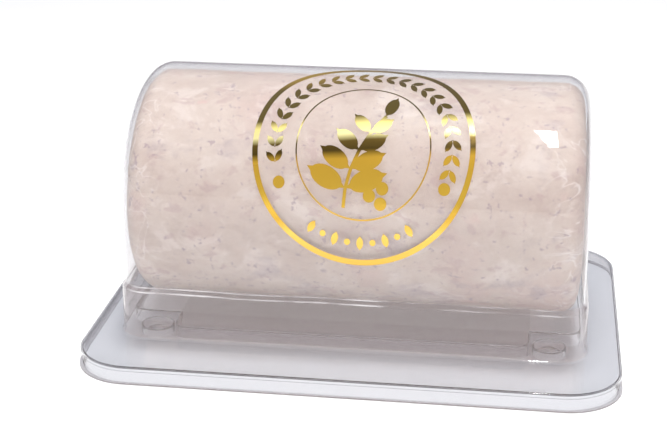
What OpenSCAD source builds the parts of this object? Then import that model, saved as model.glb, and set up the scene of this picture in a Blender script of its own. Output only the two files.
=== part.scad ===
// Soft cheese log in a clear two-part pack: a tunnel-shaped lid over a shallow tray.
// The pack stands on the XY plane with its middle over the origin, and the log lies along X.

/* [Cheese log] */
// Diameter of the log
log_d = 84.9; // [60:0.1:110]
// Length of the log
log_len = 164.6; // [110:0.1:240]
// Radius of the round edge at each end of the log
log_edge_r = 7; // [2:0.5:16]
// How far the soft log has settled into its flat underside
log_settle = 0.5; // [0.2:0.1:2]

/* [Lid] */
// Thickness of the clear lid
lid_t = 0.4; // [0.3:0.05:0.8]
// Gap between the log and the side walls
side_gap = 0.65; // [0.3:0.05:3]
// Gap between the top of the log and the lid
top_gap = 2.5; // [0.5:0.1:6]
// Gap at each end of the log
end_gap = 1.3; // [0.5:0.1:5]
// Radius of the lid's edge round each end, outside
dome_edge_r = 9; // [4:0.5:16]
// Height of the ledge's upper edge above the flange
ledge_h = 19.2; // [10:0.2:30]
// How far the ledge steps out
ledge_out = 1.4; // [0.6:0.1:4]
// How far the ledge slopes down
ledge_drop = 1.5; // [0.6:0.1:4]
// Radius where the lid's wall turns out into its flange
foot_r = 1.6; // [0.8:0.1:4]

/* [Flange] */
// Width of the flange along each long side
flange_side = 24.7; // [10:0.1:40]
// Width of the flange at each end
flange_end = 12.4; // [8:0.1:40]
// Radius of the flange's corners
flange_corner_r = 21.2; // [12:0.2:40]
// Height of the lid's rim, turned down over the tray
rim_h = 1.8; // [1:0.1:3]
// Clearance between the lid's rim and the tray
rim_gap = 0.15; // [0.1:0.05:0.5]

/* [Tray] */
// Thickness of the clear tray
tray_t = 0.5; // [0.4:0.05:1]
// Height of the tray's flange above the table
skirt_h = 6.4; // [5:0.1:15]
// Width of the lip round the foot of the skirt
lip_w = 1; // [0.5:0.1:3]
// Height of the platform under the log, above the tray's flange
platform_h = 5; // [3:0.1:10]
// Radius of the platform's corners
platform_corner_r = 5; // [2:0.5:10]
// Gap between the platform and the inside of the lid
platform_gap = 1.3; // [0.5:0.1:4]
// Diameter of the round stud in each corner
stud_d = 12.2; // [8:0.2:16]
// Height of the studs above the tray's flange
stud_h = 3.2; // [1.5:0.1:5]
// Gap between a stud and the inside of the lid's long wall
stud_gap = 1.4; // [0.5:0.1:4]
// Gap between a stud and the inside of the lid's end wall
stud_end_gap = 6.8; // [2:0.1:12]
// Width of the space that the platform leaves round a stud
notch_gap = 1.2; // [0.5:0.1:4]

/* [Hidden] */
$fn = 96;

log_r = log_d / 2;
platform_z = skirt_h + platform_h;
log_axis_z = platform_z + log_r - log_settle;

dome_r = log_r + side_gap + lid_t;
dome_half = log_len / 2 + end_gap + lid_t;
dome_axis_z = log_axis_z + log_r + top_gap + lid_t - dome_r;
band_half = dome_half + ledge_out;
band_r = dome_r + ledge_out;
ledge_top_z = skirt_h + lid_t + ledge_h;
ledge_low_z = ledge_top_z - ledge_drop;

flange_half = band_half + flange_end;
flange_r = band_r + flange_side;
// The tray stands inside the lid's rim by the rim's own thickness and its clearance
skirt_inset = lid_t + rim_gap;

platform_half = band_half - lid_t - platform_gap;
platform_r = band_r - lid_t - platform_gap;
stud_x = band_half - lid_t - stud_end_gap - stud_d / 2;
stud_y = band_r - lid_t - stud_gap - stud_d / 2;
notch_x = stud_x - stud_d / 2 - notch_gap;
notch_y = stud_y - stud_d / 2 - notch_gap;
// Cuts reach this far past the faces that they open
past = 1;

// Rectangle with round corners, all its sides moved out by grow
module rounded(half_x, half_y, corner_r, grow = 0) {
    r = corner_r + grow;
    x = half_x + grow - r;
    y = half_y + grow - r;
    union() {
        for (sx = [-1, 1], sy = [-1, 1]) translate([sx * x, sy * y]) circle(r);
        square([2 * x, 2 * (y + r)], center = true);
        square([2 * (x + r), 2 * y], center = true);
    }
}

module slab(z0, z1, half_x, half_y, corner_r, grow = 0) {
    translate([0, 0, z0]) linear_extrude(z1 - z0) rounded(half_x, half_y, corner_r, grow);
}

// Sweeps a profile round a rounded rectangle. The profile's x is the way out from the
// rectangle's side and its y is the height.
module round_about(half_x, half_y, corner_r) {
    x = half_x - corner_r;
    y = half_y - corner_r;
    for (k = [0:3]) {
        sx = (k == 0 || k == 3) ? 1 : -1;
        sy = (k < 2) ? 1 : -1;
        run = (k % 2 == 0) ? x : y;
        translate([sx * x, sy * y]) rotate(90 * k) {
            rotate_extrude(angle = 90) translate([corner_r, 0]) children();
            translate([-2 * run, corner_r]) rotate([90, 0, 90]) linear_extrude(2 * run) children();
        }
    }
}

// Half outline of a bar along Y with round edges, its radius along X
module bar_outline(half, r, edge_r) {
    for (side = [-1, 1]) translate([r - edge_r, side * (half - edge_r)]) circle(edge_r);
    translate([0, -half]) square([r - edge_r, 2 * half]);
    translate([0, edge_r - half]) square([r, 2 * (half - edge_r)]);
}

module cheese_log() {
    color([0.93, 0.87, 0.84]) intersection() {
        translate([0, 0, log_axis_z]) rotate([0, 90, 0]) rotate_extrude()
            bar_outline(log_len / 2, log_r, log_edge_r);
        translate([-log_len, -log_d, platform_z]) cube([2 * log_len, 2 * log_d, 2 * log_d]);
    }
}

// Half of a tube with round end edges, open underneath
module dome() {
    translate([0, 0, dome_axis_z]) rotate([0, 90, 0]) rotate(90) rotate_extrude(angle = 180)
        difference() {
            bar_outline(dome_half, dome_r, dome_edge_r);
            bar_outline(dome_half - lid_t, dome_r - lid_t, dome_edge_r - lid_t);
        }
}

// Everything inside the lid's wall, from the foot up to the dome, as far in as reach
module wall_side(grow, reach) {
    low = ledge_low_z + grow;
    high = ledge_top_z + grow;
    polygon([
        [-reach, skirt_h],
        [ledge_out + grow, skirt_h],
        [ledge_out + grow, low],
        [grow, high],
        [grow, dome_axis_z],
        [-reach, dome_axis_z]
    ]);
}

// Section of the lid's wall: the side of the dome, the sloping ledge, the band and its round foot
module wall_section() {
    foot_x = ledge_out + foot_r;
    foot_z = skirt_h + lid_t + foot_r;
    difference() {
        union() {
            wall_side(0, 2 * lid_t);
            translate([ledge_out - lid_t, skirt_h]) square([foot_r + lid_t, foot_r + lid_t]);
        }
        wall_side(-lid_t, 3 * lid_t);
        translate([foot_x, foot_z]) circle(foot_r);
        difference() {
            translate([-3 * lid_t, skirt_h - past]) square([foot_x + 3 * lid_t, foot_r + lid_t + past]);
            translate([foot_x, foot_z]) circle(foot_r + lid_t);
        }
    }
}

module lid() {
    color([0.88, 0.9, 0.92, 0.35]) {
        dome();
        round_about(dome_half, dome_r, dome_edge_r) wall_section();
        translate([0, 0, skirt_h]) linear_extrude(lid_t) difference() {
            rounded(flange_half, flange_r, flange_corner_r);
            rounded(dome_half, dome_r, dome_edge_r, ledge_out + foot_r);
        }
        translate([0, 0, skirt_h + lid_t - rim_h]) linear_extrude(rim_h - lid_t) difference() {
            rounded(flange_half, flange_r, flange_corner_r);
            rounded(flange_half, flange_r, flange_corner_r, -lid_t);
        }
    }
}

// Platform with a notch at each corner, all its sides moved out by grow
module platform_outline(grow = 0) {
    rounded(notch_x, platform_r, platform_corner_r, grow);
    rounded(platform_half, notch_y, platform_corner_r, grow);
}

module tray_body(grow = 0) {
    slab(-past - grow, skirt_h + grow, flange_half - skirt_inset, flange_r - skirt_inset,
        flange_corner_r - skirt_inset, grow);
    linear_extrude(platform_z + grow) platform_outline(grow);
    for (sx = [-1, 1], sy = [-1, 1])
        translate([sx * stud_x, sy * stud_y]) cylinder(skirt_h + stud_h + grow, d = stud_d + 2 * grow);
}

module tray() {
    color([0.86, 0.88, 0.92, 0.35]) {
        difference() {
            tray_body();
            tray_body(-tray_t);
            translate([0, 0, -2 * past]) linear_extrude(2 * past)
                rounded(flange_half, flange_r, flange_corner_r, past);
        }
        round_about(flange_half - skirt_inset, flange_r - skirt_inset, flange_corner_r - skirt_inset)
            translate([-tray_t, 0]) square([tray_t + lip_w, tray_t]);
    }
}

cheese_log();
lid();
tray();
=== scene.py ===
import math

import bpy
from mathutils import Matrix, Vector


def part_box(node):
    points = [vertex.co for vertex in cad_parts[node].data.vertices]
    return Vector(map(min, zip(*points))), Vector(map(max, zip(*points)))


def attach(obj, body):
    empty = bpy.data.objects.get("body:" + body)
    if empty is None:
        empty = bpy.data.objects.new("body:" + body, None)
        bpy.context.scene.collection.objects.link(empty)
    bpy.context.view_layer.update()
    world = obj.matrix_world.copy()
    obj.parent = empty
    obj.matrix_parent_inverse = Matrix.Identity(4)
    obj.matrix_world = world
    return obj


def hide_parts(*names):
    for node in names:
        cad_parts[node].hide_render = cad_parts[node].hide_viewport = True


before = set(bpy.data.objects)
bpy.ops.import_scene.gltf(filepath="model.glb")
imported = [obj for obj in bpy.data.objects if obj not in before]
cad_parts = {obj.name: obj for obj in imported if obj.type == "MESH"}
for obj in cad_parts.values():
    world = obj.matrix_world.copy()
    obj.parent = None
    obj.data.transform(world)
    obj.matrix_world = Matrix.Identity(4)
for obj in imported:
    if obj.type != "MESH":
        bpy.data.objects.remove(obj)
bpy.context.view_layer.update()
logLow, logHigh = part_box("cheese_log")
lidLow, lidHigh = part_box("lid")


def objectMode():
    if bpy.context.mode != "OBJECT":
        bpy.ops.object.mode_set(mode="OBJECT")


def pickOnly(*pieces):
    objectMode()
    bpy.ops.object.select_all(action="DESELECT")
    for piece in pieces:
        piece.select_set(True)
    bpy.context.view_layer.objects.active = pieces[0]


def editAll(piece, mode="VERT"):
    pickOnly(piece)
    bpy.ops.object.mode_set(mode="EDIT")
    bpy.ops.mesh.select_mode(type=mode)
    bpy.ops.mesh.select_all(action="SELECT")


def pickVerts(piece, test):
    # in edit mode, with only the vertices that pass the test selected
    editAll(piece)
    bpy.ops.mesh.select_all(action="DESELECT")
    objectMode()
    for vertex in piece.data.vertices:
        vertex.select = test(vertex.co)
    bpy.ops.object.mode_set(mode="EDIT")
    bpy.ops.mesh.select_mode(type="VERT")


def newPiece(name):
    piece = bpy.context.active_object
    piece.name = name
    piece.data.name = name
    return piece


def joinPieces(pieces, name):
    pickOnly(*pieces)
    bpy.ops.object.join()
    return newPiece(name)


def settlePlace(piece):
    pickOnly(piece)
    bpy.ops.object.transform_apply(location=True, rotation=True, scale=True)


def addModifier(piece, kind, **values):
    pickOnly(piece)
    bpy.ops.object.modifier_add(type=kind)
    modifier = piece.modifiers[-1]
    for key, value in values.items():
        setattr(modifier, key, value)
    bpy.ops.object.modifier_apply(modifier=modifier.name)


def drawLine(points, name):
    # a plane is cut down to one corner, and the line is extruded from it point by point
    bpy.ops.object.select_all(action="DESELECT")
    bpy.ops.mesh.primitive_plane_add(size=2)
    line = newPiece(name)
    pickVerts(line, lambda co: co.x < 0 or co.y < 0)
    bpy.ops.mesh.delete(type="VERT")
    bpy.ops.mesh.select_all(action="SELECT")
    bpy.ops.transform.translate(value=Vector(points[0]) - Vector((1, 1, 0)))
    for here, there in zip(points, points[1:]):
        bpy.ops.mesh.extrude_region_move(
            TRANSFORM_OT_translate={"value": Vector(there) - Vector(here)})
    return line


def arcPoints(centre, radius, fromAngle, toAngle, steps):
    # points of an arc in a plane, as pairs
    angles = [math.radians(fromAngle + (toAngle - fromAngle) * k / steps) for k in range(steps + 1)]
    return [(centre[0] + radius * math.cos(a), centre[1] + radius * math.sin(a)) for a in angles]


def runPoints(start, end, steps):
    # points of a straight run between two pairs, without its last point
    return [(start[0] + (end[0] - start[0]) * k / steps,
             start[1] + (end[1] - start[1]) * k / steps) for k in range(steps)]


def sweepRound(line, halfX, halfY, cornerR, steps):
    # takes an upright section that stands on the +X side round a rectangle with round corners
    editAll(line)
    runs = [("side", (0, 1)), ("end", (-1, 0)), ("side", (0, -1)), ("end", (1, 0))]
    straightY = halfY - cornerR
    straightX = halfX - cornerR
    corners = [(straightX, straightY), (-straightX, straightY),
               (-straightX, -straightY), (straightX, -straightY)]
    for k, (way, heading) in enumerate(runs):
        length = 2 * (straightY if way == "side" else straightX)
        count = steps["end"] if way == "side" else steps["side"]
        move = Vector((heading[0], heading[1], 0)) * (length / count)
        for _ in range(count):
            bpy.ops.mesh.extrude_region_move(TRANSFORM_OT_translate={"value": move})
        bpy.ops.mesh.spin(steps=steps["corner"], angle=-math.pi / 2,
                          center=(corners[k][0], corners[k][1], 0), axis=(0, 0, 1))
    tidyMesh(line)


def tidyMesh(piece, distance=0.00001):
    editAll(piece)
    bpy.ops.mesh.remove_doubles(threshold=distance)
    bpy.ops.mesh.select_all(action="SELECT")
    bpy.ops.mesh.normals_make_consistent(inside=False)
    objectMode()


def smooth(piece, degrees):
    pickOnly(piece)
    bpy.ops.object.shade_smooth_by_angle(angle=math.radians(degrees))


def paint(piece, material):
    piece.data.materials.clear()
    piece.data.materials.append(material)


def newMaterial(name):
    material = bpy.data.materials.new(name)
    material.use_nodes = True
    material.node_tree.nodes.clear()
    return material, material.node_tree


def addNode(tree, kind, **sockets):
    node = tree.nodes.new(kind)
    for key, value in sockets.items():
        socket = node.inputs[key.replace("_", " ")]
        if isinstance(value, bpy.types.NodeSocket):
            tree.links.new(value, socket)
        else:
            socket.default_value = value
    return node


def addRamp(tree, factor, stops):
    node = addNode(tree, "ShaderNodeValToRGB", Fac=factor)
    ramp = node.color_ramp
    while len(ramp.elements) < len(stops):
        ramp.elements.new(0.5)
    for element, (place, colour) in zip(ramp.elements, stops):
        element.position = place
        element.color = (*colour, 1)
    return node.outputs["Color"]


def mixColour(tree, factor, first, second):
    # the second colour over the first, as far as the factor says
    node = tree.nodes.new("ShaderNodeMix")
    node.data_type = "RGBA"
    tree.links.new(factor, node.inputs[0])
    tree.links.new(first, node.inputs[6])
    node.inputs[7].default_value = (*second, 1)
    return node.outputs[2]


def math2(tree, operation, first, second, clamp=False):
    node = tree.nodes.new("ShaderNodeMath")
    node.operation = operation
    node.use_clamp = clamp
    for place, value in ((0, first), (1, second)):
        if isinstance(value, bpy.types.NodeSocket):
            tree.links.new(value, node.inputs[place])
        else:
            node.inputs[place].default_value = value
    return node.outputs[0]


def objectPlace(tree, scale=(1, 1, 1), turn=(0, 0, 0)):
    place = addNode(tree, "ShaderNodeTexCoord").outputs["Object"]
    mapping = addNode(tree, "ShaderNodeMapping", Vector=place)
    mapping.inputs["Scale"].default_value = scale
    mapping.inputs["Rotation"].default_value = turn
    return mapping.outputs["Vector"]


cameraSet = {
    "place": (0.06314, -0.53218, 0.24158),
    "target": (-0.011419, 0, 0.038916),
    "lens": 80.93,
    "sensor": 36,
}


def makeCamera():
    data = bpy.data.cameras.new("camera")
    data.lens = cameraSet["lens"]
    data.sensor_width = cameraSet["sensor"]
    data.clip_start = 0.01
    camera = bpy.data.objects.new("camera", data)
    bpy.context.scene.collection.objects.link(camera)
    camera.location = cameraSet["place"]
    heading = Vector(cameraSet["target"]) - camera.location
    camera.rotation_euler = heading.to_track_quat("-Z", "Y").to_euler()
    bpy.context.scene.camera = camera


logSet = {
    "edgeR": 0.007,        # round edge at each end
    "lift": 0.00005,       # clear of the tray by a hair
    "ringSteps": 160,
    "sideSteps": 80,
    "edgeSteps": 8,
    "endSteps": 12,
    "dent": 0.0005,        # how deep the uneven surface goes
    "dentSize": 0.016,
    "dentMiddle": 0.75,    # above a half, so that the dents go mostly inward
}
logR = logHigh.y
logHalf = logHigh.x
logAxisZ = logHigh.z - logR


speckSet = {
    "raggedSize": 2.6,      # fine noise on the edge, to the spots' own size
    "raggedReach": 0.5,
    "softEdge": 0.22,
    "faintest": 0.3,
}


def speckGroup():
    # ragged, soft-edged spots, in only some cells and each of its own strength
    group = bpy.data.node_groups.new("speckle", "ShaderNodeTree")
    for name in ("Size", "Spread", "Share"):
        group.interface.new_socket(name, in_out="INPUT", socket_type="NodeSocketFloat")
    group.interface.new_socket("Place", in_out="INPUT", socket_type="NodeSocketVector")
    group.interface.new_socket("Mask", in_out="OUTPUT", socket_type="NodeSocketFloat")
    start = group.nodes.new("NodeGroupInput").outputs
    end = group.nodes.new("NodeGroupOutput")
    ragged = addNode(group, "ShaderNodeTexNoise", Vector=start["Place"], Detail=3, Roughness=0.6,
                     Scale=math2(group, "MULTIPLY", start["Size"], speckSet["raggedSize"]))
    cells = addNode(group, "ShaderNodeTexVoronoi", Vector=start["Place"], Scale=start["Size"])
    chance = addNode(group, "ShaderNodeSeparateColor", Color=cells.outputs["Color"]).outputs
    reach = math2(group, "MULTIPLY", start["Spread"], chance["Green"])
    uneven = math2(group, "SUBTRACT", ragged.outputs["Fac"], 0.5)
    edge = math2(group, "ADD", cells.outputs["Distance"],
                 math2(group, "MULTIPLY", uneven, speckSet["raggedReach"]))
    spot = math2(group, "DIVIDE", math2(group, "SUBTRACT", reach, edge), speckSet["softEdge"], clamp=True)
    few = math2(group, "GREATER_THAN", start["Share"], chance["Red"])
    strength = math2(group, "MULTIPLY_ADD", chance["Blue"], 1 - speckSet["faintest"])
    strength.node.inputs[2].default_value = speckSet["faintest"]
    mask = math2(group, "MULTIPLY", math2(group, "MULTIPLY", spot, few), strength)
    group.links.new(mask, end.inputs["Mask"])
    return group


def addSpecks(tree, group, place, values):
    node = tree.nodes.new("ShaderNodeGroup")
    node.node_tree = group
    node.inputs["Size"].default_value = values["size"]
    node.inputs["Spread"].default_value = values["spread"]
    node.inputs["Share"].default_value = values["share"]
    tree.links.new(place, node.inputs["Place"])
    return node.outputs["Mask"]


def addPatches(tree, place, values, colour):
    # irregular patches of one tone, where a fine noise rises above a level
    noise = addNode(tree, "ShaderNodeTexNoise", Vector=place, Scale=values["size"], Detail=values["detail"],
                    Roughness=0.65, Distortion=values["twist"])
    most = values["most"]
    mask = addRamp(tree, noise.outputs["Fac"], [
        (values["from"], (0, 0, 0)), (values["to"], (most, most, most))])
    return mixColour(tree, mask, colour, values["tone"])


cheeseSet = {
    "stretch": (0.75, 1, 1),   # for what is smeared, with its turn
    "turn": (0, 0.5, 0.3),
    "cloudSize": 40,
    "cloud": [(0.30, (0.553, 0.425, 0.367)), (0.44, (0.651, 0.528, 0.456)),
              (0.56, (0.704, 0.586, 0.507)), (0.72, (0.751, 0.646, 0.569))],
    "patches": [
        # pink stains, lilac smears, pale smears, pinkish flecks and fine dark flecks
        {"smeared": False, "size": 21, "detail": 4, "twist": 0.3, "from": 0.52, "to": 0.64, "most": 0.40,
         "tone": (0.65, 0.455, 0.41)},
        {"smeared": True, "size": 40, "detail": 6, "twist": 0.4, "from": 0.56, "to": 0.66, "most": 0.55,
         "tone": (0.46, 0.36, 0.37)},
        {"smeared": True, "size": 75, "detail": 6, "twist": 0.6, "from": 0.53, "to": 0.62, "most": 0.50,
         "tone": (0.82, 0.715, 0.645)},
        {"smeared": True, "size": 150, "detail": 4, "twist": 0.4, "from": 0.57, "to": 0.64, "most": 0.50,
         "tone": (0.54, 0.38, 0.36)},
        {"smeared": False, "size": 380, "detail": 2, "twist": 0.2, "from": 0.62, "to": 0.69, "most": 0.65,
         "tone": (0.42, 0.31, 0.33)},
    ],
    "specks": [
        # how many to a metre, how wide, in what share of the cells, and the colour
        {"smeared": True, "size": 70, "spread": 0.30, "share": 0.07, "tone": (0.50, 0.39, 0.42)},
        {"smeared": False, "size": 190, "spread": 0.36, "share": 0.12, "tone": (0.44, 0.33, 0.34)},
        {"smeared": True, "size": 90, "spread": 0.34, "share": 0.08, "tone": (0.72, 0.45, 0.42)},
    ],
    # pale lines along creases are painted highlights, where the creases catch the light
    "creaseHighlight": {"size": 46, "width": 0.014, "start": 0.064, "run": 0.016, "most": 0.6,
               "tone": (0.95, 0.88, 0.83)},
    "grainSize": 420,
    "grainShare": 0.25,
    "softSize": 110,
    "bump": 0.5,
    "bumpHeight": 0.0006,
    "rough": 0.55,
    "gloss": 0.3,
    "depth": 0.12,             # how much light goes into the cheese, and how far
    "depthReach": (0.003, 0.002, 0.0015),
    "depthScale": 0.5,
}


def addCreaseHighlights(tree, place, colour):
    # fine pale lines along creases, painted highlights that get stronger toward each end
    values = cheeseSet["creaseHighlight"]
    creaseHighlight = addNode(tree, "ShaderNodeTexNoise", Vector=place, Scale=values["size"], Detail=3,
                     Distortion=1.5)
    away = math2(tree, "ABSOLUTE", math2(tree, "SUBTRACT", creaseHighlight.outputs["Fac"], 0.5), 0)
    line = math2(tree, "SUBTRACT", 1.0, math2(tree, "DIVIDE", away, values["width"]), clamp=True)
    along = math2(tree, "ABSOLUTE", addNode(tree, "ShaderNodeSeparateXYZ", Vector=place).outputs["X"], 0)
    near = math2(tree, "DIVIDE", math2(tree, "SUBTRACT", along, values["start"]), values["run"], clamp=True)
    line = math2(tree, "MULTIPLY", math2(tree, "MULTIPLY", line, near), values["most"])
    return mixColour(tree, line, colour, values["tone"])


def cheeseMaterial():
    material, tree = newMaterial("pressedCheese")
    place = objectPlace(tree)
    long = objectPlace(tree, scale=cheeseSet["stretch"], turn=cheeseSet["turn"])
    cloud = addNode(tree, "ShaderNodeTexNoise", Vector=long, Scale=cheeseSet["cloudSize"], Detail=8,
                    Roughness=0.7)
    colour = addRamp(tree, cloud.outputs["Fac"], cheeseSet["cloud"])
    for values in cheeseSet["patches"]:
        colour = addPatches(tree, long if values["smeared"] else place, values, colour)
    specks = speckGroup()
    for values in cheeseSet["specks"]:
        mask = addSpecks(tree, specks, long if values["smeared"] else place, values)
        colour = mixColour(tree, mask, colour, values["tone"])
    colour = addCreaseHighlights(tree, place, colour)
    grain = addNode(tree, "ShaderNodeTexNoise", Vector=place, Scale=cheeseSet["grainSize"], Detail=3,
                    Roughness=0.6)
    soft = addNode(tree, "ShaderNodeTexNoise", Vector=place, Scale=cheeseSet["softSize"], Detail=2,
                   Roughness=0.5)
    fine = math2(tree, "MULTIPLY", grain.outputs["Fac"], cheeseSet["grainShare"])
    height = math2(tree, "ADD", fine, soft.outputs["Fac"])
    bump = addNode(tree, "ShaderNodeBump", Strength=cheeseSet["bump"], Distance=cheeseSet["bumpHeight"],
                   Height=height)
    shader = addNode(tree, "ShaderNodeBsdfPrincipled", Base_Color=colour, Roughness=cheeseSet["rough"],
                     Normal=bump.outputs["Normal"])
    shader.inputs["Subsurface Weight"].default_value = cheeseSet["depth"]
    shader.inputs["Subsurface Radius"].default_value = cheeseSet["depthReach"]
    shader.inputs["Subsurface Scale"].default_value = cheeseSet["depthScale"]
    shader.inputs["Specular IOR Level"].default_value = cheeseSet["gloss"]
    addNode(tree, "ShaderNodeOutputMaterial", Surface=shader.outputs["BSDF"])
    return material


leanSet = {
    "half": (0.084, 0.045),
    "low": 0.048,
    "high": 0.0988,
    # how far each level is drawn in, at even steps from low to high
    "inward": (0, 0.00025, 0.00045, 0.00065, 0.00095, 0.0014, 0.0021, 0.0029),
}


def leanEnds(piece):
    # a lattice round the upper part draws both ends in a little, more toward the top
    bpy.ops.object.select_all(action="DESELECT")
    bpy.ops.object.add(type="LATTICE", location=(0, 0, (leanSet["low"] + leanSet["high"]) / 2))
    lattice = bpy.context.active_object
    halfX, halfY = leanSet["half"]
    lattice.scale = (2 * halfX, 2 * halfY, leanSet["high"] - leanSet["low"])
    lattice.data.points_u = 2
    lattice.data.points_v = 2
    lattice.data.points_w = len(leanSet["inward"])
    lattice.data.interpolation_type_w = "KEY_CARDINAL"
    for k, point in enumerate(lattice.data.points):
        inward = leanSet["inward"][k // 4]    # four points to a level
        point.co_deform.x *= (halfX - inward) / halfX
    bpy.context.view_layer.update()
    addModifier(piece, "LATTICE", object=lattice)
    bpy.data.objects.remove(lattice)


def makeLog():
    # half outline of a bar with round edges, spun about its own axis
    edge = logSet["edgeR"]
    outline = runPoints((logHalf, 0), (logHalf, logR - edge), logSet["endSteps"])
    outline += arcPoints((logHalf - edge, logR - edge), edge, 0, 90, logSet["edgeSteps"])[:-1]
    outline += runPoints((logHalf - edge, logR), (edge - logHalf, logR), logSet["sideSteps"])
    outline += arcPoints((edge - logHalf, logR - edge), edge, 90, 180, logSet["edgeSteps"])[:-1]
    outline += runPoints((-logHalf, logR - edge), (-logHalf, 0), logSet["endSteps"]) + [(-logHalf, 0)]
    piece = drawLine([(x, 0, logAxisZ + r) for x, r in outline], "cheeseLog")
    editAll(piece)
    bpy.ops.mesh.spin(steps=logSet["ringSteps"], angle=2 * math.pi, center=(0, 0, logAxisZ), axis=(1, 0, 0))
    tidyMesh(piece)
    texture = bpy.data.textures.new("logDents", type="CLOUDS")
    texture.noise_scale = logSet["dentSize"]
    texture.noise_depth = 2
    addModifier(piece, "DISPLACE", texture=texture, texture_coords="LOCAL", strength=logSet["dent"],
                mid_level=logSet["dentMiddle"])
    leanEnds(piece)
    # the soft underside has settled flat
    bottom = logLow.z + logSet["lift"]
    pickVerts(piece, lambda co: co.z < bottom)
    bpy.ops.transform.resize(value=(1, 1, 0), center_override=(0, 0, bottom))
    objectMode()
    smooth(piece, 60)
    paint(piece, cheeseMaterial())
    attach(piece, "root")
    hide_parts("cheese_log")


filmSet = {
    "tint": (0.972, 0.977, 0.986),
    "shadowTint": (0.930, 0.936, 0.946),
    "rough": 0.02,
    "bend": 1.45,                # of light
    # the colour of the painted highlight lines on the bends
    "highlightWhite": (0.90, 0.89, 0.89),
    "milkAndShadeHeight": 0.05,          # the stops' heights for milk and painted shade go up to this
    "milkAndShadeFade": 0.001,           # how softly the milk and painted shade end toward the corners
    "milkAndShadeLow": 0.0064,           # below this, the milk and painted shade go all the way round
    "edgeMilkFrom": 0.02,        # milk seen edge-on starts here and is full a run above
    "edgeMilkRun": 0.02,
    "lineSize": 38,              # painted highlight lines on bends
    "lineWander": 0.0008,
    "lineBreakSize": 55,
    "lineBreak": [(0.42, (0.03, 0.03, 0.03)), (0.66, (0.6, 0.6, 0.6))],
}


def rippleGroup():
    group = bpy.data.node_groups.new("filmRipple", "ShaderNodeTree")
    group.interface.new_socket("Size", in_out="INPUT", socket_type="NodeSocketFloat")
    group.interface.new_socket("Height", in_out="OUTPUT", socket_type="NodeSocketFloat")
    start = group.nodes.new("NodeGroupInput")
    end = group.nodes.new("NodeGroupOutput")
    place = addNode(group, "ShaderNodeTexCoord").outputs["Object"]
    wide = addNode(group, "ShaderNodeTexNoise", Vector=place, Scale=start.outputs["Size"], Detail=1)
    fine = addNode(group, "ShaderNodeTexNoise", Vector=place, Detail=2,
                   Scale=math2(group, "MULTIPLY", start.outputs["Size"], 5.0))
    total = math2(group, "ADD", wide.outputs["Fac"], math2(group, "MULTIPLY", fine.outputs["Fac"], 0.12))
    group.links.new(total, end.inputs["Height"])
    return group


def paintedHighlightLines(tree, bends):
    # painted highlights along the sheet's sharp bends, in broken wandering lines
    place = addNode(tree, "ShaderNodeTexCoord").outputs["Object"]
    wander = addNode(tree, "ShaderNodeTexNoise", Vector=place, Scale=filmSet["lineSize"], Detail=1)
    reach = filmSet["lineWander"]
    height = addNode(tree, "ShaderNodeSeparateXYZ", Vector=place).outputs["Z"]
    height = math2(tree, "ADD", height, math2(tree, "MULTIPLY", wander.outputs["Fac"], reach))
    total = 0.0
    for level, width in bends:
        away = math2(tree, "ABSOLUTE", math2(tree, "SUBTRACT", height, level + reach / 2), 0)
        line = math2(tree, "SUBTRACT", 1.0, math2(tree, "DIVIDE", away, width), clamp=True)
        total = math2(tree, "MAXIMUM", total, line)
    broken = addNode(tree, "ShaderNodeTexNoise", Vector=place, Scale=filmSet["lineBreakSize"], Detail=2)
    share = addRamp(tree, broken.outputs["Fac"], filmSet["lineBreak"])
    return math2(tree, "MULTIPLY", total, share)


def milkAndPaintedShade(tree, values):
    # how much milk the sheet has at each height, which stands for haze and also paints in shade, and where
    # it is seen edge-on
    place = addNode(tree, "ShaderNodeTexCoord").outputs["Object"]
    parts = addNode(tree, "ShaderNodeSeparateXYZ", Vector=place).outputs
    full = filmSet["milkAndShadeHeight"]
    stops = [(level / full, (share, share, share)) for level, share in values["milkAndShade"]]
    share = addRamp(tree, math2(tree, "DIVIDE", parts["Z"], full), stops)
    # what is raised gets milk and painted shade only between the corners
    away = math2(tree, "SUBTRACT", values["milkAndShadeReach"], math2(tree, "ABSOLUTE", parts["X"], 0))
    within = math2(tree, "DIVIDE", away, filmSet["milkAndShadeFade"], clamp=True)
    low = math2(tree, "LESS_THAN", parts["Z"], filmSet["milkAndShadeLow"])
    share = math2(tree, "MULTIPLY", share, math2(tree, "MAXIMUM", within, low))
    facing = addNode(tree, "ShaderNodeLayerWeight", Blend=0.5).outputs["Facing"]
    edge = math2(tree, "MULTIPLY", math2(tree, "POWER", facing, 4), values["edgeMilk"])
    rise = math2(tree, "SUBTRACT", parts["Z"], filmSet["edgeMilkFrom"])
    upper = math2(tree, "DIVIDE", rise, filmSet["edgeMilkRun"], clamp=True)
    return math2(tree, "MAXIMUM", share, math2(tree, "MULTIPLY", edge, upper))


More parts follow.
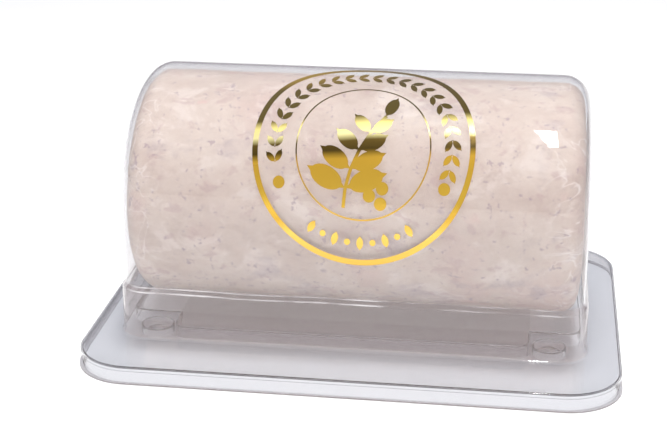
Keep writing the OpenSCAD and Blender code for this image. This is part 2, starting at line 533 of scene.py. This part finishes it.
def filmMaterial(name, group, values, bends):
    material, tree = newMaterial(name)
    ripple = tree.nodes.new("ShaderNodeGroup")
    ripple.node_tree = group
    ripple.inputs["Size"].default_value = values["ripple"]
    bump = addNode(tree, "ShaderNodeBump", Strength=values["depth"], Distance=0.001,
                   Height=ripple.outputs["Height"])
    shader = addNode(tree, "ShaderNodeBsdfPrincipled", Roughness=filmSet["rough"], IOR=filmSet["bend"],
                     Normal=bump.outputs["Normal"])
    shader.inputs["Base Color"].default_value = (*filmSet["tint"], 1)
    shader.inputs["Transmission Weight"].default_value = 1
    # lamps and bounced light go straight through to what is inside
    through = addNode(tree, "ShaderNodeBsdfTransparent")
    through.inputs["Color"].default_value = (*filmSet["shadowTint"], 1)
    ray = addNode(tree, "ShaderNodeLightPath").outputs
    straight = math2(tree, "MAXIMUM", ray["Is Shadow Ray"], ray["Is Diffuse Ray"])
    # a diffuse layer in the milk's tone, which stands for haze and also paints in shade
    milkAndShade = addNode(tree, "ShaderNodeBsdfDiffuse")
    milkAndShade.inputs["Color"].default_value = (*values["milkAndShadeTone"], 1)
    # a white diffuse layer on the bends, for the painted highlights
    highlightWhite = addNode(tree, "ShaderNodeBsdfDiffuse")
    highlightWhite.inputs["Color"].default_value = (*filmSet["highlightWhite"], 1)
    surface = shader.outputs["BSDF"]
    for share, other in ((milkAndPaintedShade(tree, values), milkAndShade.outputs["BSDF"]),
                         (paintedHighlightLines(tree, bends), highlightWhite.outputs["BSDF"]),
                         (straight, through.outputs["BSDF"])):
        mix = addNode(tree, "ShaderNodeMixShader", Fac=share)
        tree.links.new(surface, mix.inputs[1])
        tree.links.new(other, mix.inputs[2])
        surface = mix.outputs["Shader"]
    addNode(tree, "ShaderNodeOutputMaterial", Surface=surface)
    return material


lidSet = {
    "wall": 0.0004,
    "sideGap": 0.00065,     # log to side wall
    "endGap": 0.0013,       # log to end wall
    "edgeR": 0.009,         # edge round each end
    "ledgeHeight": 0.0192,  # above the flange
    "ledgeOut": 0.0014,
    "ledgeDrop": 0.0015,
    "footR": 0.0016,
    "cornerR": 0.0212,      # flange corners
    "rimR": 0.0006,
    "rimHeight": 0.0018,
    "flangeStart": 0.003,   # the rim's section starts this far in from the edge
    "bendR": 0.0004,        # ledge's two bends
    "steps": {"side": 40, "end": 12, "corner": 10},
    "domeSteps": 72,
    # the milk is pairs of height and share, with a reach to each side; on the lid it is a light haze whose
    # grey-pink tone also paints in the shade under the log, seen through the band and over the foot
    "film": {"ripple": 22.0, "depth": 0.04, "edgeMilk": 0.16, "milkAndShadeReach": 0.2,
             "milkAndShadeTone": (0.60, 0.505, 0.475),
             "milkAndShade": [(0.0068, 0.0), (0.0074, 0.16), (0.0240, 0.14), (0.0264, 0.14), (0.0268, 0.02)]},
    "lineWidths": (0.00022, 0.0003),    # painted highlight lines on the ledge's upper and lower bend
}
domeR = logR + lidSet["sideGap"] + lidSet["wall"]
domeHalf = logHalf + lidSet["endGap"] + lidSet["wall"]
domeAxisZ = lidHigh.z - domeR
flangeTop = lidLow.z + lidSet["rimHeight"]
ledgeTop = flangeTop + lidSet["ledgeHeight"]


def makeDome():
    edge = lidSet["edgeR"]
    steps = lidSet["steps"]
    outline = runPoints((domeHalf, 0), (domeHalf, domeR - edge), steps["end"] // 2)
    outline += arcPoints((domeHalf - edge, domeR - edge), edge, 0, 90, steps["corner"])[:-1]
    outline += runPoints((domeHalf - edge, domeR), (edge - domeHalf, domeR), steps["side"])
    outline += arcPoints((edge - domeHalf, domeR - edge), edge, 90, 180, steps["corner"])[:-1]
    outline += runPoints((-domeHalf, domeR - edge), (-domeHalf, 0), steps["end"] // 2) + [(-domeHalf, 0)]
    piece = drawLine([(x, -r, domeAxisZ) for x, r in outline], "dome")
    editAll(piece)
    bpy.ops.mesh.spin(steps=lidSet["domeSteps"], angle=math.pi, center=(0, 0, domeAxisZ), axis=(1, 0, 0))
    tidyMesh(piece)
    return piece


def wallSection():
    # from the dome's level down over the ledge and the band to the round foot, as (way out, height)
    out, drop, foot = lidSet["ledgeOut"], lidSet["ledgeDrop"], lidSet["footR"]
    bend = lidSet["bendR"]
    middle = bend / 4
    section = runPoints((0, domeAxisZ), (0, ledgeTop + bend), 10)
    section += [(0, ledgeTop + bend), (middle, ledgeTop + middle), (bend, ledgeTop - bend)]
    section += [(out - bend, ledgeTop - drop + bend), (out - middle, ledgeTop - drop - middle)]
    section += runPoints((out, ledgeTop - drop - bend), (out, flangeTop + foot), 6)
    section += arcPoints((out + foot, flangeTop + foot), foot, 180, 270, 6)
    return section


def makeLid(group):
    dome = makeDome()
    section = wallSection()
    startY = lidSet["edgeR"] - domeR
    wall = drawLine([(domeHalf + out, startY, z) for out, z in section], "lidWall")
    sweepRound(wall, domeHalf, domeR, lidSet["edgeR"], lidSet["steps"])
    rimR, cornerR = lidSet["rimR"], lidSet["cornerR"]
    rim = [(-lidSet["flangeStart"], flangeTop)]
    rim += arcPoints((-rimR, flangeTop - rimR), rimR, 90, 0, 4) + [(0, lidLow.z)]
    startY = cornerR - lidHigh.y
    edge = drawLine([(lidHigh.x + out, startY, z) for out, z in rim], "lidRim")
    sweepRound(edge, lidHigh.x, lidHigh.y, cornerR, lidSet["steps"])
    piece = joinPieces([dome, wall, edge], "lidShell")
    tidyMesh(piece)
    # the two open loops at the flange's level are bridged
    editAll(piece, "EDGE")
    bpy.ops.mesh.select_all(action="DESELECT")
    bpy.ops.mesh.select_non_manifold(extend=False, use_wire=False, use_boundary=True,
                                     use_multi_face=False, use_non_contiguous=False, use_verts=False)
    objectMode()
    for edgeLine in piece.data.edges:
        if edgeLine.select:
            a, b = (piece.data.vertices[k].co.z for k in edgeLine.vertices)
            edgeLine.select = abs(a - flangeTop) < 0.0001 and abs(b - flangeTop) < 0.0001
    bpy.ops.object.mode_set(mode="EDIT")
    bpy.ops.mesh.bridge_edge_loops(number_cuts=3, interpolation="LINEAR")
    tidyMesh(piece)
    leanEnds(piece)
    addModifier(piece, "SOLIDIFY", thickness=lidSet["wall"], offset=-1, use_even_offset=True)
    smooth(piece, 35)
    # painted highlight lines go on the ledge's two bends
    upper, lower = lidSet["lineWidths"]
    bends = [(ledgeTop, upper), (ledgeTop - lidSet["ledgeDrop"], lower)]
    paint(piece, filmMaterial("lidFilm", group, lidSet["film"], bends))
    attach(piece, "root")
    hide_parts("lid")


traySet = {
    "wall": 0.0005,
    "top": 0.0063,           # flange, a hair under the lid's
    "platformTop": 0.0114,
    "rimInset": 0.00055,     # inside the lid's rim
    "platformGap": 0.0013,
    "platformR": 0.005,
    "studD": 0.0122,
    "studTop": 0.0096,
    "studGap": 0.0014,
    "studEndGap": 0.0068,
    "notchGap": 0.0012,
    "lip": 0.001,
    "bendR": 0.0008,
    "bendSteps": 5,
    "bendAngle": 40,         # only edges sharper than this are rounded
    "cornerSteps": 14,
    "platformSteps": 10,
    "studSteps": 48,
    "below": -0.004,         # the block starts here and is cut open above it
    "lift": 0.00002,         # clear of the floor by a hair
    # the tray's milk is dark and mostly painted shade: a dark line along the bottom edge, grey over the
    # skirt, and darkest on the raised part under the log, between the corners
    "film": {"ripple": 18.0, "depth": 0.12, "edgeMilk": 0.0, "milkAndShadeReach": 0.0655,
             "milkAndShadeTone": (0.29, 0.25, 0.245),
             "milkAndShade": [(0.0003, 0.42), (0.0006, 0.13), (0.0054, 0.13), (0.0060, 0.05), (0.0065, 0.05),
                      (0.0069, 0.46), (0.0100, 0.40), (0.0112, 0.04)]},
}


def roundedBlock(name, halfX, halfY, low, high, cornerR, segments):
    bpy.ops.object.select_all(action="DESELECT")
    bpy.ops.mesh.primitive_cube_add(size=1, location=(0, 0, (low + high) / 2))
    block = newPiece(name)
    block.scale = (2 * halfX, 2 * halfY, high - low)
    settlePlace(block)
    editAll(block, "EDGE")
    bpy.ops.mesh.select_all(action="DESELECT")
    objectMode()
    for edge in block.data.edges:
        a, b = (block.data.vertices[k].co for k in edge.vertices)
        edge.select = abs(a.z - b.z) > 0.9 * (high - low)
    bpy.ops.object.mode_set(mode="EDIT")
    bpy.ops.mesh.select_mode(type="EDGE")
    bpy.ops.mesh.bevel(offset=cornerR, segments=segments, affect="EDGES", clamp_overlap=False)
    objectMode()
    return block


def uniteWith(piece, other):
    addModifier(piece, "BOOLEAN", object=other, operation="UNION", solver="EXACT")
    bpy.data.objects.remove(other)


def makeTray(group):
    # inside of the lid's band
    innerX = domeHalf + lidSet["ledgeOut"] - lidSet["wall"]
    innerY = domeR + lidSet["ledgeOut"] - lidSet["wall"]
    outX = lidHigh.x - traySet["rimInset"]
    outY = lidHigh.y - traySet["rimInset"]
    piece = roundedBlock("trayShell", outX, outY, traySet["below"], traySet["top"],
                         lidSet["cornerR"] - traySet["rimInset"], traySet["cornerSteps"])
    platformX = innerX - traySet["platformGap"]
    platformY = innerY - traySet["platformGap"]
    studX = innerX - traySet["studEndGap"] - traySet["studD"] / 2
    studY = innerY - traySet["studGap"] - traySet["studD"] / 2
    notchX = studX - traySet["studD"] / 2 - traySet["notchGap"]
    notchY = studY - traySet["studD"] / 2 - traySet["notchGap"]
    for halfX, halfY in ((notchX, platformY), (platformX, notchY)):
        uniteWith(piece, roundedBlock("platform", halfX, halfY, 0, traySet["platformTop"],
                                      traySet["platformR"], traySet["platformSteps"]))
    studTop = traySet["studTop"]
    for sx in (-1, 1):
        for sy in (-1, 1):
            bpy.ops.object.select_all(action="DESELECT")
            bpy.ops.mesh.primitive_cylinder_add(
                vertices=traySet["studSteps"], radius=traySet["studD"] / 2, depth=studTop,
                location=(sx * studX, sy * studY, studTop / 2))
            stud = newPiece("stud")
            settlePlace(stud)
            uniteWith(piece, stud)
    tidyMesh(piece)
    # open underneath, down to the top of its lip
    wall = traySet["wall"]
    lipTop = wall + traySet["lift"]
    editAll(piece)
    bpy.ops.mesh.bisect(plane_co=(0, 0, lipTop), plane_no=(0, 0, 1), clear_inner=True, use_fill=False)
    objectMode()
    addModifier(piece, "BEVEL", width=traySet["bendR"], segments=traySet["bendSteps"],
                limit_method="ANGLE", angle_limit=math.radians(traySet["bendAngle"]))
    pickVerts(piece, lambda co: co.z < lipTop + 0.00001)
    bpy.ops.mesh.select_mode(type="EDGE")
    bpy.ops.mesh.extrude_region_move(TRANSFORM_OT_translate={"value": (0, 0, 0)})
    lip = traySet["lip"]
    bpy.ops.transform.resize(value=((outX + lip) / outX, (outY + lip) / outY, 1), center_override=(0, 0, 0))
    tidyMesh(piece)
    # the sheet's thickness goes inward from what was drawn
    if max(piece.data.polygons, key=lambda face: face.center.z).normal.z < 0:
        editAll(piece, "FACE")
        bpy.ops.mesh.flip_normals()
        objectMode()
    addModifier(piece, "SOLIDIFY", thickness=wall, offset=-1, use_even_offset=True)
    smooth(piece, 35)
    paint(piece, filmMaterial("trayFilm", group, traySet["film"], []))
    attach(piece, "root")
    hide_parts("tray")


roundelSet = {
    "centre": (0.0040, 0.0272),   # along the log, and up the lid from the dome's level
    "outer": 0.0393,
    "tall": 1.09,                 # height to width
    "stroke": 0.00195,
    "inner": 0.0239,
    "fineStroke": 0.0005,
    "dot": 0.0021,
    "dotAngles": (203, 337),
    "bandR": 0.0316,
    "foil": 0.00004,
    "lift": 0.00005,              # off the lid
    "slice": 0.002,
    "ringSteps": 180,
    "dotSteps": 28,
    "leafSteps": 24,
    "leafPoint": 1.28,            # how far a leaf's disc is drawn out to its points
    "wreath": {"count": 23, "from": 191, "turn": 202, "lean": 0.62, "inset": 0.0003,
               "length": 0.0050, "width": 0.0021},
    "beads": {"count": 9, "from": 237, "turn": 66, "dot": 0.0011, "offset": 0.0026,
              "length": 0.0052, "width": 0.0024},
    "sprig": {"foot": (-0.006, -0.0195), "rise": (0.013, 0.031), "stroke": 0.0012,
              "length": 0.0155, "shorter": 0.0020, "narrow": 0.46,
              "left": (154, -7), "right": (20, 5), "tip": (0.0092, 0.0044, 66)},
    "berries": ((0.003, -0.0155), (0.0075, -0.0130), (0.0070, -0.0180)),
    "berry": 0.0022,
    "stemOverlap": 1.08,
}


def flatRing(radius, stroke):
    bpy.ops.object.select_all(action="DESELECT")
    bpy.ops.mesh.primitive_circle_add(vertices=roundelSet["ringSteps"], radius=radius)
    ring = newPiece("ring")
    editAll(ring, "EDGE")
    bpy.ops.mesh.extrude_region_move(TRANSFORM_OT_translate={"value": (0, 0, 0)})
    share = (radius - stroke) / radius
    bpy.ops.transform.resize(value=(share, share, 1), center_override=(0, 0, 0))
    objectMode()
    return ring


def flatDot(radius, place):
    bpy.ops.object.select_all(action="DESELECT")
    bpy.ops.mesh.primitive_circle_add(vertices=roundelSet["dotSteps"], radius=radius,
                                      fill_type="NGON", location=(*place, 0))
    dot = newPiece("dot")
    settlePlace(dot)
    return dot


def flatLeaf(length, width, place, turn):
    # a flat disc drawn out to a point at both ends, its foot at place
    bpy.ops.object.select_all(action="DESELECT")
    bpy.ops.mesh.primitive_circle_add(vertices=roundelSet["leafSteps"], radius=0.5, fill_type="NGON")
    leaf = newPiece("leaf")
    pickVerts(leaf, lambda co: abs(co.x) > 0.49)
    point = roundelSet["leafPoint"]
    bpy.ops.transform.resize(value=(point, 1, 1), center_override=(0, 0, 0))
    objectMode()
    leaf.scale = (length / point, width, 1)
    heading = Vector((math.cos(turn), math.sin(turn), 0))
    leaf.rotation_euler = (0, 0, turn)
    leaf.location = Vector((*place, 0)) + heading * (length / 2)
    settlePlace(leaf)
    return leaf


def flatStem(points, width):
    # strips end to end, each a little longer than its run so that they overlap
    joints = [Vector(point) for point in points]
    stems = []
    for a, b in zip(joints, joints[1:]):
        bpy.ops.object.select_all(action="DESELECT")
        bpy.ops.mesh.primitive_plane_add(size=1)
        stem = newPiece("stem")
        run = b - a
        stem.scale = (run.length * roundelSet["stemOverlap"], width, 1)
        stem.rotation_euler = (0, 0, math.atan2(run.y, run.x))
        stem.location = (*((a + b) / 2), 0)
        settlePlace(stem)
        stems.append(stem)
    return stems


def wreathPieces(band):
    # leaves in pairs along the band above
    values = roundelSet["wreath"]
    pieces = []
    for k in range(values["count"]):
        angle = math.radians(values["from"] - values["turn"] * k / (values["count"] - 1))
        foot = Vector((math.cos(angle), math.sin(angle))) * (band - values["inset"])
        for lean in (-values["lean"], values["lean"]):
            pieces.append(flatLeaf(values["length"], values["width"], foot, angle - math.pi / 2 + lean))
    return pieces


def beadPieces(band):
    # beads and single leaves in turn along the band below
    values = roundelSet["beads"]
    pieces = []
    for k in range(values["count"]):
        angle = math.radians(values["from"] + values["turn"] * k / (values["count"] - 1))
        way = Vector((math.cos(angle), math.sin(angle)))
        if k % 2:
            pieces.append(flatDot(values["dot"], way * band))
        else:
            pieces.append(flatLeaf(values["length"], values["width"], way * (band + values["offset"]),
                                   angle + math.pi))
    return pieces


def sprigPieces():
    values = roundelSet["sprig"]
    footX, footY = values["foot"]
    riseX, riseY = values["rise"]
    stem = [(footX + riseX * t * t, footY + riseY * t) for t in (0, 0.2, 0.4, 0.6, 0.8, 1)]
    pieces = flatStem(stem, values["stroke"])
    for k, place in enumerate(stem[1:-1]):
        length = values["length"] - values["shorter"] * k
        for start, step in (values["left"], values["right"]):
            pieces.append(flatLeaf(length, length * values["narrow"], place, math.radians(start + step * k)))
    length, width, turn = values["tip"]
    pieces.append(flatLeaf(length, width, stem[-1], math.radians(turn)))
    for place in roundelSet["berries"]:
        pieces.append(flatDot(roundelSet["berry"], place))
    return pieces


def makeRoundel():
    band = roundelSet["bandR"]
    pieces = [flatRing(roundelSet["outer"], roundelSet["stroke"]),
              flatRing(roundelSet["inner"], roundelSet["fineStroke"])]
    for degrees in roundelSet["dotAngles"]:
        angle = math.radians(degrees)
        pieces.append(flatDot(roundelSet["dot"], (band * math.cos(angle), band * math.sin(angle))))
    pieces += wreathPieces(band) + beadPieces(band) + sprigPieces()
    roundel = joinPieces(pieces, "goldRoundel")
    # set upright, one unit of height for one of arc, and cut into narrow slices that can bend
    editAll(roundel)
    bpy.ops.transform.resize(value=(1, roundelSet["tall"], 1), center_override=(0, 0, 0))
    objectMode()
    roundel.rotation_euler = (math.pi / 2, 0, 0)
    roundel.location = (roundelSet["centre"][0], 0, roundelSet["centre"][1])
    settlePlace(roundel)
    low = min(v.co.z for v in roundel.data.vertices)
    high = max(v.co.z for v in roundel.data.vertices)
    height = math.floor(low / roundelSet["slice"]) * roundelSet["slice"]
    while height < high:
        editAll(roundel)
        bpy.ops.mesh.bisect(plane_co=(0, 0, height), plane_no=(0, 0, 1))
        height += roundelSet["slice"]
    # wrapped round the dome
    radius = domeR + roundelSet["lift"]
    addModifier(roundel, "SIMPLE_DEFORM", deform_method="BEND", deform_axis="X",
                limits=(-low / (high - low), 1), angle=high / radius)
    roundel.location = (0, -radius, domeAxisZ)
    settlePlace(roundel)
    return roundel


foilSet = {
    "grainSize": 22,
    "lean": -0.05,           # how the painted reflection's bands of dark and bright gold slope along the lid
    "wander": 0.006,
    "from": 0.040,           # the painted reflection bands' ramp starts at this height and runs this far
    "run": 0.065,
    # dark and bright bands painted into the gold by height on the dome: a painted reflection that stays in
    # place when the view moves
    "paintedReflectionBands": [
        (0.00, (0.80, 0.50, 0.08)), (0.22, (0.95, 0.64, 0.13)), (0.30, (0.74, 0.44, 0.05)),
        (0.40, (0.90, 0.57, 0.065)), (0.615, (0.76, 0.45, 0.045)), (0.655, (0.09, 0.055, 0.006)),
        (0.70, (0.13, 0.08, 0.01)), (0.735, (1.00, 0.90, 0.42)), (0.775, (1.00, 0.84, 0.30)),
        (0.81, (0.12, 0.085, 0.02)), (0.93, (0.15, 0.11, 0.04)), (1.00, (0.75, 0.48, 0.10))],
    "rough": [(0.3, (0.20, 0.20, 0.20)), (0.7, (0.30, 0.30, 0.30))],
    "metal": 0.62,
    "bump": 0.1,
    "bumpHeight": 0.0003,
}


def foilMaterial():
    material, tree = newMaterial("goldFoil")
    place = objectPlace(tree)
    grain = addNode(tree, "ShaderNodeTexNoise", Vector=place, Scale=foilSet["grainSize"], Detail=1)
    parts = addNode(tree, "ShaderNodeSeparateXYZ", Vector=place).outputs
    # the gold's colour runs through the painted reflection bands by height
    height = math2(tree, "ADD", parts["Z"], math2(tree, "MULTIPLY", parts["X"], foilSet["lean"]))
    wander = math2(tree, "MULTIPLY", grain.outputs["Fac"], foilSet["wander"])
    height = math2(tree, "ADD", height, wander)
    share = math2(tree, "DIVIDE", math2(tree, "SUBTRACT", height, foilSet["from"]), foilSet["run"])
    colour = addRamp(tree, share, foilSet["paintedReflectionBands"])
    rough = addRamp(tree, grain.outputs["Fac"], foilSet["rough"])
    bump = addNode(tree, "ShaderNodeBump", Strength=foilSet["bump"], Distance=foilSet["bumpHeight"],
                   Height=grain.outputs["Fac"])
    shader = addNode(tree, "ShaderNodeBsdfPrincipled", Base_Color=colour, Roughness=rough,
                     Metallic=foilSet["metal"], Normal=bump.outputs["Normal"])
    addNode(tree, "ShaderNodeOutputMaterial", Surface=shader.outputs["BSDF"])
    return material


def tidyFoil(piece):
    editAll(piece)
    bpy.ops.mesh.normals_make_consistent(inside=False)
    objectMode()
    # all of it faces out from the dome
    middle = Vector((0, 0, domeAxisZ))
    turned = [face for face in piece.data.polygons if (face.center - middle).dot(face.normal) < 0]
    editAll(piece, "FACE")
    bpy.ops.mesh.select_all(action="DESELECT")
    objectMode()
    for face in turned:
        face.select = True
    bpy.ops.object.mode_set(mode="EDIT")
    bpy.ops.mesh.flip_normals()
    objectMode()
    addModifier(piece, "SOLIDIFY", thickness=roundelSet["foil"], offset=1)
    smooth(piece, 35)


def finishRoundel():
    piece = makeRoundel()
    tidyFoil(piece)
    paint(piece, foilMaterial())
    piece.visible_shadow = False    # the print leaves no shadow on the cheese
    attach(piece, "root")


floorSet = {
    "size": 12,
    "cloudSize": 3,
    "tones": [(0.0, (0.93, 0.93, 0.93)), (1.0, (0.94, 0.94, 0.94))],
    "rough": 0.9,
    "gloss": 0.1,
}


def floorMaterial():
    material, tree = newMaterial("paleFloor")
    place = objectPlace(tree)
    noise = addNode(tree, "ShaderNodeTexNoise", Vector=place, Scale=floorSet["cloudSize"])
    colour = addRamp(tree, noise.outputs["Fac"], floorSet["tones"])
    shader = addNode(tree, "ShaderNodeBsdfPrincipled", Base_Color=colour, Roughness=floorSet["rough"])
    shader.inputs["Specular IOR Level"].default_value = floorSet["gloss"]
    addNode(tree, "ShaderNodeOutputMaterial", Surface=shader.outputs["BSDF"])
    return material


def makeFloor():
    bpy.ops.object.select_all(action="DESELECT")
    bpy.ops.mesh.primitive_plane_add(size=floorSet["size"], location=(0, 0, 0))
    floor = newPiece("floor")
    settlePlace(floor)
    floor.data.materials.append(floorMaterial())


skySet = {
    # from straight down to straight up
    "tones": [(0.0, (0.32, 0.32, 0.38)), (0.5, (0.34, 0.34, 0.38)),
              (0.85, (0.56, 0.56, 0.58)), (1.0, (0.70, 0.70, 0.71))],
    "strength": 0.95,
}

# the overhead lamp and the front one light the pack, and only the strip shows in its gloss
lampSet = {
    "overhead": {"place": (0.05, -0.10, 1.5), "aim": (0, 0, 0.05), "size": (0.30, 0.30), "power": 17.5,
                 "colour": (1, 1, 1), "seen": False},
    "front": {"place": (0.3, -1.9, 0.45), "aim": (0, 0, 0.05), "size": (1.4, 0.6), "power": 10,
              "colour": (1, 0.955, 0.90), "seen": False},
    "strip": {"place": (0.085, -0.36, 1.04), "aim": (0.067, 0, 0.05), "size": (0.030, 0.30), "power": 2.0,
              "colour": (1, 1, 1), "seen": True},
}


def makeSky():
    world = bpy.data.worlds.new("studio")
    bpy.context.scene.world = world
    world.use_nodes = True
    tree = world.node_tree
    tree.nodes.clear()
    up = addNode(tree, "ShaderNodeSeparateXYZ",
                 Vector=addNode(tree, "ShaderNodeTexCoord").outputs["Generated"])
    sky = addRamp(tree, up.outputs["Z"], skySet["tones"])
    back = addNode(tree, "ShaderNodeBackground", Color=sky, Strength=skySet["strength"])
    addNode(tree, "ShaderNodeOutputWorld", Surface=back.outputs["Background"])


def makeLamps():
    for name, values in lampSet.items():
        data = bpy.data.lights.new(name, "AREA")
        data.shape = "RECTANGLE"
        data.size, data.size_y = values["size"]
        data.energy = values["power"]
        data.color = values["colour"]
        lamp = bpy.data.objects.new(name, data)
        bpy.context.scene.collection.objects.link(lamp)
        lamp.location = values["place"]
        lamp.visible_glossy = values["seen"]
        lamp.visible_transmission = values["seen"]
        heading = Vector(values["aim"]) - lamp.location
        lamp.rotation_euler = heading.to_track_quat("-Z", "Y").to_euler()


makeCamera()
print("camera placed")
makeLog()
print("cheese log made")
ripples = rippleGroup()
makeLid(ripples)
print("lid made")
makeTray(ripples)
print("tray made")
finishRoundel()
print("roundel made")
makeFloor()
makeSky()
makeLamps()
print("floor and light made")
scene = bpy.context.scene
scene.view_settings.view_transform = "Standard"
scene.cycles.transparent_max_bounces = 32
scene.cycles.max_bounces = 24
scene.cycles.transmission_bounces = 24
scene.cycles.caustics_reflective = False
